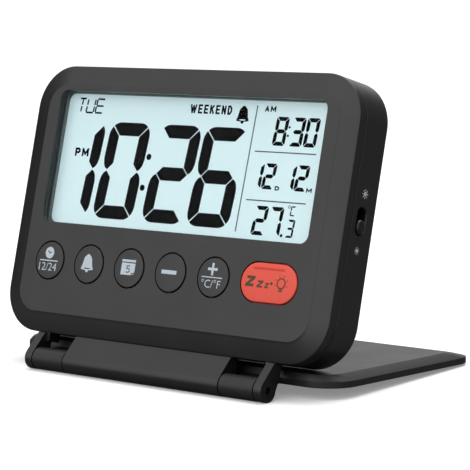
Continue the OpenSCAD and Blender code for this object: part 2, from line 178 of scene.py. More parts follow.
def button_middle(name):
    """Middle of a button across and up, and its width and height."""
    x, v, _ = span(name + "_button")
    return (
        middle(x),
        middle(v),
        x[1] - x[0] - 2 * FLANGE,
        v[1] - v[0] - 2 * FLANGE,
    )


# ---- colours ----


def linear(code):
    """An sRGB hex colour as linear red, green and blue."""
    parts = [int(code[i : i + 2], 16) / 255 for i in (1, 3, 5)]
    return tuple(
        p / 12.92 if p <= 0.04045 else ((p + 0.055) / 1.055) ** 2.4 for p in parts
    )


def shade(colour, share):
    """A linear colour made lighter or darker, with full alpha."""
    return (*(min(1.0, c * share) for c in colour[:3]), 1.0)


def length(name, text, default):
    return bpy.props.FloatProperty(
        name=name, description=text, default=default * MM, min=0.0,
        subtype="DISTANCE", unit="LENGTH", precision=5,
    )


def tint(name, text, code):
    return bpy.props.FloatVectorProperty(
        name=name, description=text, default=linear(code), size=3,
        min=0.0, max=1.0, subtype="COLOR",
    )


class ClockSizes(bpy.types.PropertyGroup):
    """Sizes of the moulding that a user would change"""

    bevel_width: length("Bevel width", "Width of the slope round the panel", 6.4)
    bevel_fall: length("Bevel fall", "How far the slope falls at its edge", 2.0)
    edge_round: length("Edge round", "Radius of the moulded edges", 0.25)
    window_round: length("Window round", "Corner radius of the lit field", 2.7)
    digit_stroke: length("Digit stroke", "Thickness of the large digits", 4.45)
    cap_crown: length("Button crown", "How far the button caps bulge", 0.08)
    stand_slope: length("Stand slope", "Width of the stand's side slope", 3.4)


class ClockColours(bpy.types.PropertyGroup):
    """Colours that a user would change"""

    case: tint("Case", "Charcoal of the case and its buttons", "#121213")
    stand: tint("Stand", "Charcoal of the folding stand", "#18181a")
    snooze: tint("Snooze button", "Warm red of the snooze button", "#ea4f3b")
    marks: tint("Marks", "Pale ink of the button marks", "#c3ced8")
    display: tint("Display", "Lit field of the display", "#cfe6ea")
    segments: tint("Segments", "Dark segments of the display", "#08080a")


def sizes():
    return bpy.context.scene.clock_sizes


def colours():
    return bpy.context.scene.clock_colours


# ---- materials ----


def add(tree, kind, sockets=None, **settings):
    """Adds one shader node with its settings, and sets or links its sockets."""
    made = tree.nodes.new("ShaderNode" + kind)
    for name, value in settings.items():
        setattr(made, name, value)
    for name, value in (sockets or {}).items():
        if isinstance(value, bpy.types.NodeSocket):
            tree.links.new(value, made.inputs[name])
        else:
            made.inputs[name].default_value = value
    return made


def surface(
    name, colour, rough, grain, relief, uneven=0.06, cloud=14.0, stretch=(1, 1, 1),
    turn=(0, 0, 0), **shader
):
    """A material whose grain of that size in mm stands that many mm proud, with
    a slow change of tone over cloud mm. The rest goes to the shader's sockets."""
    made = bpy.data.materials.new(name)
    made.use_nodes = True
    tree = made.node_tree
    tree.nodes.clear()
    place = add(tree, "TexCoord").outputs["Object"]
    run = add(
        tree, "Mapping", {"Vector": place, "Scale": stretch, "Rotation": turn}
    ).outputs["Vector"]
    fine = add(
        tree, "TexNoise", {"Vector": run, "Scale": 1 / (grain * MM), "Detail": 2.0}
    ).outputs["Fac"]
    slow = add(
        tree, "TexNoise", {"Vector": place, "Scale": 1 / (cloud * MM), "Detail": 3.0}
    ).outputs["Fac"]
    blend = add(tree, "Math", {0: fine, 1: slow}, operation="ADD").outputs[0]
    tone = add(tree, "ValToRGB", {"Fac": add(
        tree, "Math", {0: blend, 1: 0.5}, operation="MULTIPLY").outputs[0]})
    low, high = tone.color_ramp.elements
    low.position, high.position = 0.3, 0.7
    low.color, high.color = shade(colour, 1 - uneven), shade(colour, 1 + uneven)
    gloss = add(
        tree, "MapRange",
        {"Value": slow, "From Min": 0.3, "From Max": 0.7,
         "To Min": max(rough - 0.03, 0.02), "To Max": rough + 0.03},
    )
    bump = add(
        tree, "Bump", {"Height": fine, "Strength": 1.0, "Distance": relief * MM}
    )
    body = add(
        tree, "BsdfPrincipled",
        {"Base Color": tone.outputs["Color"], "Roughness": gloss.outputs["Result"],
         "Normal": bump.outputs["Normal"], **shader},
    )
    add(tree, "OutputMaterial", {"Surface": body.outputs["BSDF"]})
    return made


def moulded_abs_matt():
    # ABS moulded in a spark-eroded tool: an even, soft sheen with no streaks.
    # Real grain is 0.1 mm, too fine to show, so it is drawn at 0.35 mm.
    return surface("moulded_abs_matt", colours().case, 0.37, 0.35, 0.006, IOR=1.54)


def moulded_abs_satin():
    # ABS from a smoother tool on the caps: slightly clearer highlights.
    return surface("moulded_abs_satin", colours().case, 0.35, 0.3, 0.004, IOR=1.54)


def moulded_abs_black():
    # Black ABS of the slider knob: near gloss with a bright rim on its dome.
    return surface("moulded_abs_black", linear("#0b0b0c"), 0.3, 0.3, 0.003, IOR=1.5)


def moulded_abs_inner():
    # Unpainted ABS inside the case: duller, with a faint moulding mottle.
    return surface("moulded_abs_inner", linear("#1a1a1b"), 0.6, 0.5, 0.01, 0.12)


def painted_soft_touch():
    # Soft-touch paint over ABS: a dry bloom that turns light at a low angle.
    # Real flatting agent is 0.03 mm across, drawn at 0.3 mm to show.
    return surface(
        "painted_soft_touch", colours().stand, 0.48, 0.3, 0.005, IOR=1.5,
    )


def moulded_abs_red():
    # Red ABS: a saturated warm cap with an even satin sheen.
    return surface("moulded_abs_red", colours().snooze, 0.42, 0.3, 0.004, 0.03)


def printed_ink_pale():
    # Pad-printed pale ink: flat and dry, with slightly uneven cover.
    return surface("printed_ink_pale", colours().marks, 0.55, 0.25, 0.002, 0.08)


def printed_ink_olive():
    # Dark olive pad-printed ink: dry, reads brown over the red cap.
    return surface("printed_ink_olive", linear("#4b3a1c"), 0.55, 0.25, 0.002, 0.1)


def painted_ridge_red():
    # Deeper red in the ridge near the cap's upper edge, which the thumb finds.
    return surface("painted_ridge_red", linear("#d8341d"), 0.4, 0.3, 0.003, 0.04)


def liquid_crystal_field():
    # Lit liquid crystal glass: a cool, even glow with a very faint cell grid,
    # whose real pitch of 0.1 mm is drawn at 0.4 mm.
    field = colours().display
    return surface(
        "liquid_crystal_field", field, 0.3, 0.4, 0.0005, 0.015, 30.0,
        **{"Emission Color": shade(field, 1.0), "Emission Strength": 0.3},
    )


def liquid_crystal_dark():
    # Switched segments: dense near-black with a soft polariser sheen.
    return surface(
        "liquid_crystal_dark", colours().segments, 0.35, 0.4, 0.0005, 0.1,
        **{"Specular IOR Level": 0.02},
    )


def liquid_crystal_grey():
    # Thin dividing lines: the same crystal, half dense, so it reads grey.
    return surface("liquid_crystal_grey", linear("#3c4648"), 0.35, 0.4, 0.0005, 0.1)


def laminated_glass_edge():
    # Glass border with polariser film: grey-green, between field and frame.
    return surface("laminated_glass_edge", linear("#8f9e9b"), 0.35, 1.5, 0.0005, 0.05)


def cast_acrylic_clear():
    # Clear acrylic window under an anti-reflection coat: nearly unseen, with dense
    # blacks behind it. The coat's effect is given by an IOR near that of air.
    return surface(
        "cast_acrylic_clear", linear("#fbfdfd"), 0.03, 6.0, 0.0, 0.004,
        IOR=1.08, **{"Transmission Weight": 1.0},
    )


def moulded_abs_grey():
    # Grey-green ABS of the display frame, seen as a thin band in the window.
    return surface("moulded_abs_grey", linear("#6b7674"), 0.5, 0.35, 0.004)


def moulded_acrylic_white():
    # Milky light guide: spreads the lamps into an even white sheet.
    return surface(
        "moulded_acrylic_white", linear("#eef3f4"), 0.4, 0.6, 0.003, 0.02,
        **{"Subsurface Weight": 0.3, "Subsurface Radius": (0.002, 0.002, 0.002)},
    )


def potted_phosphor_white():
    # Lamp packages: pale yellow phosphor in white resin.
    return surface("potted_phosphor_white", linear("#efe9b4"), 0.35, 0.4, 0.002)


def laminated_epoxy_green():
    # Glass-epoxy board under green solder mask: glossy with a woven cloth
    # ripple, whose 0.5 mm yarns are drawn true.
    return surface("laminated_epoxy_green", linear("#12502f"), 0.3, 0.5, 0.01, 0.15)


def laminated_polyimide():
    # Amber polyimide ribbon: smooth, warm and slightly clear.
    return surface("laminated_polyimide", linear("#b5701f"), 0.3, 0.8, 0.002, 0.1)


def moulded_epoxy_black():
    # Black epoxy of chips and the buzzer: fine, dull, greyish black.
    return surface("moulded_epoxy_black", linear("#161617"), 0.55, 0.2, 0.004, 0.1)


def plated_steel_screw():
    # Zinc-plated steel turned bright: small sharp lights on the heads.
    return surface(
        "plated_steel_screw", linear("#b9bbbd"), 0.3, 0.25, 0.003, 0.08,
        stretch=(1, 1, 6), Metallic=1.0,
    )


def blackened_steel_pin():
    # Oxide-blackened steel: a dark end in the hinge's bore.
    return surface(
        "blackened_steel_pin", linear("#2c2b2b"), 0.42, 0.3, 0.003, 0.12, Metallic=1.0
    )


def plated_nickel_spring():
    # Nickel-plated spring steel: warm bright metal, brushed along the strip.
    return surface(
        "plated_nickel_spring", linear("#c9c2b2"), 0.24, 0.3, 0.002, 0.06,
        stretch=(1, 6, 1), Metallic=1.0,
    )


def printed_sleeve_black():
    # Shrink sleeve of a cell, printed black: glossy with slight waviness.
    return surface("printed_sleeve_black", linear("#131314"), 0.2, 2.5, 0.01, 0.08)


def printed_sleeve_copper():
    # The sleeve's metallic copper end band.
    return surface(
        "printed_sleeve_copper", linear("#c9824a"), 0.26, 2.5, 0.01, 0.05, Metallic=0.9
    )


def turned_nylon_white():
    # Nylon washers: waxy, slightly translucent off-white.
    return surface("turned_nylon_white", linear("#d9d8d0"), 0.4, 0.3, 0.003, 0.03)


def moulded_rubber_black():
    # Rubber feet: flat black with a fine tooth.
    return surface("moulded_rubber_black", linear("#141414"), 0.8, 0.25, 0.01, 0.1)


def finish_of(make):
    """The material that make gives, made once."""
    return bpy.data.materials.get(make.__name__) or make()


# ---- shapes ----


def rounded(width, height, radius, x=0.0, v=0.0, steps=8, upper=None):
    """An outline with round corners, as a function of how far it is drawn in.
    The two upper corners may have a radius of their own."""

    def drawn_in(inset=0.0):
        points = []
        for turn, (sx, sv) in enumerate(((1, 1), (-1, 1), (-1, -1), (1, -1))):
            r = max((upper if upper and sv > 0 else radius) - inset, 0.02)
            half_w, half_h = width / 2 - inset - r, height / 2 - inset - r
            for step in range(steps + 1):
                angle = math.pi / 2 * (turn + step / steps)
                point = (
                    x + sx * half_w + r * math.cos(angle),
                    v + sv * half_h + r * math.sin(angle),
                )
                if not points or math.dist(point, points[-1]) > 1e-6:
                    points.append(point)
        if math.dist(points[0], points[-1]) < 1e-6:
            points.pop()
        return points

    return drawn_in


def circle(radius, x=0.0, v=0.0, steps=12):
    return rounded(2 * radius, 2 * radius, radius, x, v, steps)


def eased(profile, steps=3):
    """Turns each profile corner that has a radius into a short arc."""
    points = []
    for i, (a, b, *rest) in enumerate(profile):
        radius = rest[0] if rest else 0
        if not radius or i in (0, len(profile) - 1):
            points.append((a, b))
            continue
        corner = Vector((a, b))
        before = (Vector(profile[i - 1][:2]) - corner).normalized()
        after = (Vector(profile[i + 1][:2]) - corner).normalized()
        half = before.angle(after) / 2
        centre = corner + (before + after).normalized() * radius / math.sin(half)
        start = corner + before * radius / math.tan(half) - centre
        end = corner + after * radius / math.tan(half) - centre
        whole = start.angle(end)
        for step in range(steps + 1):
            share = step / steps
            points.append(tuple(centre + (
                start * math.sin((1 - share) * whole) + end * math.sin(share * whole)
            ) / math.sin(whole)))
    return points


class Form:
    """A closed mesh of loops of points, walls between them and flat faces."""

    def __init__(self):
        self.mesh = bmesh.new()

    def loop(self, points):
        return [self.mesh.verts.new(point) for point in points]

    def sweep(self, place, outline, profile, steps=3):
        """Walls along the profile of (inset, along, radius); gives both ends."""
        loops = [
            self.loop([place(a, b, along) for a, b in outline(inset)])
            for inset, along in eased(profile, steps)
        ]
        self.wall(loops)
        return loops[0], loops[-1]

    def wall(self, loops):
        for near, far in zip(loops, loops[1:]):
            for i, corner in enumerate(near):
                j = (i + 1) % len(near)
                self.mesh.faces.new((corner, near[j], far[j], far[i]))

    def face(self, *rims):
        """Fills the flat face inside the first rim, less the other rims."""
        if len(rims) == 1:
            self.mesh.faces.new(rims[0])
            return
        edges = []
        for rim in rims:
            for i, corner in enumerate(rim):
                pair = (corner, rim[(i + 1) % len(rim)])
                edges.append(self.mesh.edges.get(pair) or self.mesh.edges.new(pair))
        bmesh.ops.triangle_fill(
            self.mesh, use_beauty=True, use_dissolve=False, edges=edges
        )

    def solid(self, place, outline, profile, steps=3):
        """A sweep with both ends closed."""
        for rim in self.sweep(place, outline, profile, steps):
            self.face(rim)
        return self

    def plate(self, place, rims, front, rear):
        """A thin flat piece: an outer rim, and rims of holes in it."""
        tops = [self.loop([place(a, b, front) for a, b in rim]) for rim in rims]
        lows = [self.loop([place(a, b, rear) for a, b in rim]) for rim in rims]
        self.face(*tops)
        self.face(*lows)
        for top, low in zip(tops, lows):
            self.wall([top, low])
        return self

    def letters(self, text, box, place, front, rear, bold=0.0, lean=0.0):
        """Plain lettering that fills the box (left, right, low, high)."""
        curve = bpy.data.curves.new("lettering", "FONT")
        curve.body, curve.extrude = text, 0.5
        curve.offset, curve.shear = bold, lean
        curve.resolution_u = 3
        holder = bpy.data.objects.new("lettering", curve)
        bpy.context.scene.collection.objects.link(holder)
        bpy.context.view_layer.update()
        made = bpy.data.meshes.new_from_object(
            holder.evaluated_get(bpy.context.evaluated_depsgraph_get())
        )
        xs = [corner.co.x for corner in made.vertices]
        ys = [corner.co.y for corner in made.vertices]
        left, right, low, high = box
        for corner in made.vertices:
            a = (corner.co.x - min(xs)) / (max(xs) - min(xs))
            b = (corner.co.y - min(ys)) / (max(ys) - min(ys))
            corner.co = place(
                left + a * (right - left), low + b * (high - low),
                rear + (front - rear) * (corner.co.z + 0.5),
            )
        self.mesh.from_mesh(made)
        bmesh.ops.remove_doubles(self.mesh, verts=self.mesh.verts, dist=1e-8)
        bpy.data.objects.remove(holder)
        bpy.data.curves.remove(curve)
        bpy.data.meshes.remove(made)
        return self

    def piece(self, name, make, body, stands_for=()):
        """Finishes the mesh as a piece that moves with a CAD body."""
        bmesh.ops.recalc_face_normals(self.mesh, faces=self.mesh.faces)
        data = bpy.data.meshes.new(name)
        self.mesh.to_mesh(data)
        self.mesh.free()
        made = bpy.data.objects.new(name, data)
        bpy.context.scene.collection.objects.link(made)
        data.materials.append(finish_of(make))
        soften(made)
        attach(made, body)
        if stands_for:
            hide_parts(*stands_for)
        return made


def soften(made, angle=35):
    """Smooth shading that keeps sharp edges and lets broad faces lie flat."""
    made.data.shade_smooth()
    made.data.set_sharp_from_angle(angle=math.radians(angle))
    evened = made.modifiers.new("even shading", "WEIGHTED_NORMAL")
    evened.keep_sharp = True


def carry_over(node, make, ease=0.0):
    """Gives a CAD node its material, and eases its hard edges by some mm."""
    made = frame["nodes"][node]
    made.data.materials.clear()
    made.data.materials.append(finish_of(make))
    if ease:
        weld = made.modifiers.new("weld", "WELD")
        weld.merge_threshold = 0.002 * MM
        flats = made.modifiers.new("flats", "DECIMATE")
        flats.decimate_type, flats.angle_limit = "DISSOLVE", math.radians(1)
        edge = made.modifiers.new("eased edges", "BEVEL")
        edge.width, edge.segments = ease * MM, 2
        edge.limit_method, edge.angle_limit = "ANGLE", math.radians(30)
        edge.harden_normals = False
        evened = made.modifiers.new("even shading", "WEIGHTED_NORMAL")
        evened.keep_sharp = True
    return made


def carry_all(rows):
    """Carries over several CAD nodes: name, material and easing of each."""
    for node, make, ease in rows:
        carry_over(node, make, ease)


# ---- flat marks ----


def bar(x0, v0, x1, v1, thick):
    """A straight stroke from one point to another."""
    run = Vector((x1 - x0, v1 - v0)).normalized() * thick / 2
    side = Vector((-run.y, run.x))
    return [[(x0 + side.x, v0 + side.y), (x0 - side.x, v0 - side.y),
             (x1 - side.x, v1 - side.y), (x1 + side.x, v1 + side.y)]]


def box_mark(x0, x1, v0, v1):
    return [[(x0, v0), (x1, v0), (x1, v1), (x0, v1)]]


def disc(x, v, radius, steps=6):
    return [circle(radius, x, v, steps)()]


def hoop(x, v, radius, thick, steps=6):
    return [circle(radius, x, v, steps)(), circle(radius - thick, x, v, steps)()]


def arc(x, v, radius, start, end, steps=5):
    """Points of a circle's arc between two angles in degrees."""
    return [
        (x + radius * math.cos(math.radians(start + (end - start) * i / steps)),
         v + radius * math.sin(math.radians(start + (end - start) * i / steps)))
        for i in range(steps + 1)
    ]


LIT_SEGMENTS = {
    "0": "abcdef", "1": "bc", "2": "abged", "3": "abgcd", "6": "afgedc",
    "7": "abc", "8": "abcdefg", "C": "adef",
}


def segment(which, w, h, t, r, gap):
    """One segment of a digit of width w, height h and stroke t, whose outer
    corners have radius r. Neighbours part along the corners' diagonals."""
    mid, g, turn = h / 2, gap / 2, math.degrees(gap / 2 / r)
    top = (
        [(t + g, h - t)] + arc(r, h - r, r, 135 - turn, 90)
        + arc(w - r, h - r, r, 90, 45 + turn) + [(w - t - g, h - t)]
    )
    upper_left = (
        [(t, h - t - g)] + arc(r, h - r, r, 135 + turn, 180)
        + [(0, mid + 0.9 * t), (0.1 * t, mid + 0.45 * t),
           (0.26 * t, mid + 0.2 * t), (t / 2, mid + g), (t, mid + t / 2 + g)]
    )
    centre = [
        (t / 2 + g, mid), (t + g, mid + t / 2), (w - t - g, mid + t / 2),
        (w - t / 2 - g, mid), (w - t - g, mid - t / 2), (t + g, mid - t / 2),
    ]
    shapes = {
        "a": top,
        "f": upper_left,
        "b": [(w - x, y) for x, y in upper_left],
        "d": [(x, h - y) for x, y in top],
        "e": [(x, h - y) for x, y in upper_left],
        "c": [(w - x, h - y) for x, y in upper_left],
        "g": centre,
    }
    return shapes[which]


def digit(sign, x, v, w, h, t, r, gap=0.3, slant=0.08):
    """A segmented digit: x is its middle at mid height, v its lower edge."""
    return [
        [[(x - w / 2 + a + slant * (b - h / 2), v + b)
          for a, b in segment(which, w, h, t, r, gap)]]
        for which in LIT_SEGMENTS[sign]
    ]


LETTER_STROKES = {  # corner points of each stroke in a box of 1 by 1
    "A": [[(0, 0), (0.5, 1), (1, 0)], [(0.2, 0.3), (0.8, 0.3)]],
    "D": [[(0, 0), (0, 1), (0.6, 1), (1, 0.7), (1, 0.3), (0.6, 0), (0, 0)]],
    "E": [[(1, 1), (0, 1), (0, 0), (1, 0)], [(0, 0.5), (0.85, 0.5)]],
    "K": [[(0, 0), (0, 1)], [(0.05, 0.4), (0.95, 1)], [(0.35, 0.6), (1, 0)]],
    "M": [[(0, 0), (0, 1)], [(0, 1), (0.5, 0.25), (1, 1)], [(1, 1), (1, 0)]],
    "N": [[(0, 0), (0, 1)], [(0, 1), (1, 0)], [(1, 0), (1, 1)]],
    "P": [[(0, 0), (0, 1), (0.75, 1), (1, 0.82), (1, 0.62), (0.75, 0.45), (0, 0.45)]],
    "W": [[(0, 1), (0.27, 0)], [(0.27, 0), (0.5, 0.9), (0.73, 0)], [(0.73, 0), (1, 1)]],
}
LETTER_SHARES = {"M": 1.3, "W": 1.5}


def word(text, box, thick):
    """Plain stroked capitals that fill the box (left, right, low, high)."""
    left, right, low, high = box
    shares = [LETTER_SHARES.get(sign, 1.0) for sign in text]
    gap = 0.36
    unit = (right - left) / (sum(shares) + gap * (len(text) - 1))
    marks, start = [], left
    for sign, share in zip(text, shares):
        wide, tall = unit * share - thick, high - low - thick
        for stroke in LETTER_STROKES[sign]:
            points = [(start + thick / 2 + a * wide, low + thick / 2 + b * tall)
                      for a, b in stroke]
            for (x0, v0), (x1, v1) in zip(points, points[1:]):
                run = Vector((x1 - x0, v1 - v0)).normalized() * thick * 0.4
                marks.append(bar(x0 - run.x, v0 - run.y, x1 + run.x, v1 + run.y, thick))
        start += unit * (share + gap)
    return marks


def bell(x, low, high, half):
    """A hand bell with a slit above its clapper."""
    tall = high - low
    side = [(0.1, 1.0), (0.22, 0.97), (0.3, 0.93), (0.5, 0.86), (0.64, 0.77),
            (0.72, 0.6), (0.82, 0.38), (1.0, 0.2), (1.0, 0.15), (0.75, 0.12),
            (0.24, 0.1), (0.18, 0.0), (0.1, -0.01)]
    outer = [(x + half * a, low + tall * b) for a, b in side]
    outer += [(x - half * a, low + tall * b) for a, b in reversed(side)]
    slit = [(x + half * a, low + tall * b) for a, b in (
        (-0.62, 0.2), (-0.3, 0.165), (0.3, 0.165), (0.62, 0.2), (0.3, 0.23),
        (-0.3, 0.23))]
    return [outer, slit]


def zed(left, right, low, high):
    """A heavy letter Z that leans to the right."""
    wide, tall = right - left, high - low
    return [(left + a * wide, low + b * tall) for a, b in (
        (0.12, 1), (1, 1), (0.96, 0.72), (0.42, 0.27), (0.9, 0.27), (0.84, 0),
        (0, 0), (0.04, 0.26), (0.58, 0.73), (0.16, 0.73))]


def sun(x, v, rays, inner, outer, thick, centre):
    """A disc or ring with rays round it."""
    marks = [centre]
    for i in range(rays):
        a = 2 * math.pi * i / rays
        marks.append(bar(
            x + inner * math.cos(a), v + inner * math.sin(a),
            x + outer * math.cos(a), v + outer * math.sin(a), thick,
        ))
    return marks


def printed(name, marks, place, front, rear, make, body):
    """A set of flat marks as one thin raised piece."""
    form = Form()
    for rims in marks:
        form.plate(place, rims, front, rear)
    return form.piece(name, make, body)


# ---- operators: one for each piece or group of like pieces ----


class CLOCK_OT_front_bezel(bpy.types.Operator):
    """Front panel with its slope, window, button holes and screw posts"""

    bl_idname = "clock.front_bezel"
    bl_label = "Front bezel"

    def execute(self, context):
        wide, fall = sizes().bevel_width / MM, sizes().bevel_fall / MM
        proud = 0.14
        flat_share = 0.88
        slope = [
            (wide * (1 - t), fall * (flat_share * t + (1 - flat_share) * t * t))
            for t in (i / 8 for i in range(1, 8))
        ]
        form = Form()
        outline = rounded(BODY_W, BODY_H, CORNER_R, 0, BODY_MID, 16)
        front, inner = form.sweep(on_body, outline, [
            (wide + 1.2, 0), (wide + HOLD, 0), (wide + 0.16, 0.015), (wide, proud),
            *[(a, b + proud * a / wide) for a, b in slope],
            (0, fall, 0.3), (0, BEZEL_RIM, 0.2), (WALL, BEZEL_RIM, 0.1),
            (WALL, PANEL_T), (WALL + HOLD, PANEL_T),
        ])
        fronts, inners = [front], [inner]
        openings = [rounded(WINDOW_W, WINDOW_H, WINDOW_R, 0, WINDOW_V, 6)]
        for name in (*ROUND_BUTTONS, "snooze"):
            x, v, w, h = button_middle(name)
            openings.append(rounded(
                w + 2 * BUTTON_GAP, h + 2 * BUTTON_GAP, h / 2 + BUTTON_GAP, x, v, 12
            ))
        for opening in openings:
            near, far = form.sweep(on_body, opening, [
                (-HOLD, 0), (0, 0, 0.1), (0, PANEL_T),
            ], 2)
            fronts.append(near)
            inners.append(far)
        for x, v in SCREW_PLACES:
            near, far = form.sweep(on_body, circle(POST_R, x, v, 6), [
                (0, PANEL_T), (0, POST_REAR, 0.1),
                (POST_R - SCREW_R, POST_REAR), (POST_R - SCREW_R, PANEL_T + 0.2),
            ])
            inners.append(near)
            form.face(far)
        form.face(*fronts)
        form.face(*inners)
        form.piece(
            "bezel", moulded_abs_matt, CLOCK, ["front_bezel"]
        )
        return {"FINISHED"}


class CLOCK_OT_rear_shell(bpy.types.Operator):
    """Rear shell with its lip, screw recesses, door opening and sound holes"""

    bl_idname = "clock.rear_shell"
    bl_label = "Rear shell"

    def execute(self, context):
        floor_in = BODY_T - BACK_WALL
        round_off = sizes().edge_round / MM
        form = Form()
        outline = rounded(BODY_W, BODY_H, CORNER_R, 0, BODY_MID, 16)
        inner, outer = form.sweep(on_body, outline, [
            (WALL + HOLD, floor_in), (WALL, floor_in), (WALL, LIP_REAR),
            (WALL + LIP_T, LIP_REAR), (WALL + LIP_T, LIP_FRONT),
            (WALL + LIP_GAP, LIP_FRONT), (WALL + LIP_GAP, SHELL_RIM),
            (0, SHELL_RIM, round_off), (0, BODY_T, REAR_ROUND),
            (REAR_ROUND + 1, BODY_T),
        ], 5)
        inners, outers = [inner], [outer]

        def opening(shape, profile):
            near, far = form.sweep(on_body, shape, profile, 2)
            outers.append(near)
            inners.append(far)

        door_x, door_v, _ = span("battery_door")
        door_pin = 1.3
        opening(
            rounded(
                door_x[1] - door_x[0] - 2 * door_pin + 0.6, door_v[1] - door_v[0] + 0.6,
                0.5, middle(door_x), middle(door_v), 3,
            ),
            [(-HOLD, BODY_T), (0, BODY_T, 0.12), (0, floor_in)],
        )
        for x, v in SCREW_PLACES:
            step = HEAD_RECESS_R - SCREW_R - 0.2
            opening(circle(HEAD_RECESS_R, x, v, 6), [
                (-HOLD, BODY_T), (0, BODY_T, 0.12), (0, HEAD_FRONT),
                (step, HEAD_FRONT), (step, BOSS_FRONT),
                (HEAD_RECESS_R - BOSS_R, BOSS_FRONT),
                (HEAD_RECESS_R - BOSS_R, floor_in),
            ])
        buzz_x, buzz_v, _ = span("buzzer")
        pitch, hole_r = 3, 0.7
        for i in (-1, 0, 1):
            for j in (-1, 0, 1):
                opening(
                    circle(hole_r, middle(buzz_x) + i * pitch,
                           middle(buzz_v) + j * pitch, 4),
                    [(-0.15, BODY_T), (0, BODY_T, 0.1), (0, floor_in)],
                )
        form.face(*outers)
        form.face(*inners)
        shell = form.piece(
            "shell", moulded_abs_matt, CLOCK, ["rear_shell"]
        )
        self.cut_slot(shell)
        return {"FINISHED"}

    def cut_slot(self, shell):
        """Cuts the slider's slot, with an eased mouth, in the right wall."""
        slot_l, slot_w = 8.8, 4.6
        _, switch_v, switch_d = span("slide_switch")
        outside = SHELL_X[1]
        cutter = Form()
        cutter.solid(
            on_side,
            rounded(slot_w, slot_l, slot_w / 2, middle(switch_d), middle(switch_v), 8),
            [(0, outside - WALL - 1.5), (0, outside - 0.3, 0.1), (-0.35, outside + 0.05)],
        )
        tool = cutter.piece("slot_cutter", moulded_abs_matt, CLOCK)
        cut = shell.modifiers.new("slot", "BOOLEAN")
        cut.object, cut.operation, cut.solver = tool, "DIFFERENCE", "EXACT"
        bpy.context.view_layer.update()
        shell.modifiers.remove(shell.modifiers["even shading"])
        sliced = bpy.data.meshes.new_from_object(
            shell.evaluated_get(bpy.context.evaluated_depsgraph_get())
        )
        shell.modifiers.clear()
        shell.data = sliced
        shell.data.name = "shell"
        bpy.data.objects.remove(tool)
        soften(shell)


class CLOCK_OT_display(bpy.types.Operator):
    """Window, lit field, glass border and the display's frame"""

    bl_idname = "clock.display"
    bl_label = "Display"

    def execute(self, context):
        carry_over("window_lens", cast_acrylic_clear)
        carry_over("lcd_glass", laminated_glass_edge)
        carry_over("display_holder", moulded_abs_grey, 0.1)
        inset = 0.35
        form = Form()
        form.solid(
            on_body,
            rounded(WINDOW_W - 2 * inset, WINDOW_H - 2 * inset,
                    sizes().window_round / MM, 0, WINDOW_V, 6),
            [(HOLD, GLASS_D[0] - 0.02), (0, GLASS_D[0] - 0.02), (0, GLASS_D[0] + 0.02),
             (HOLD, GLASS_D[0] + 0.02)],
        )
        form.piece("display_field", liquid_crystal_field, CLOCK)
        return {"FINISHED"}


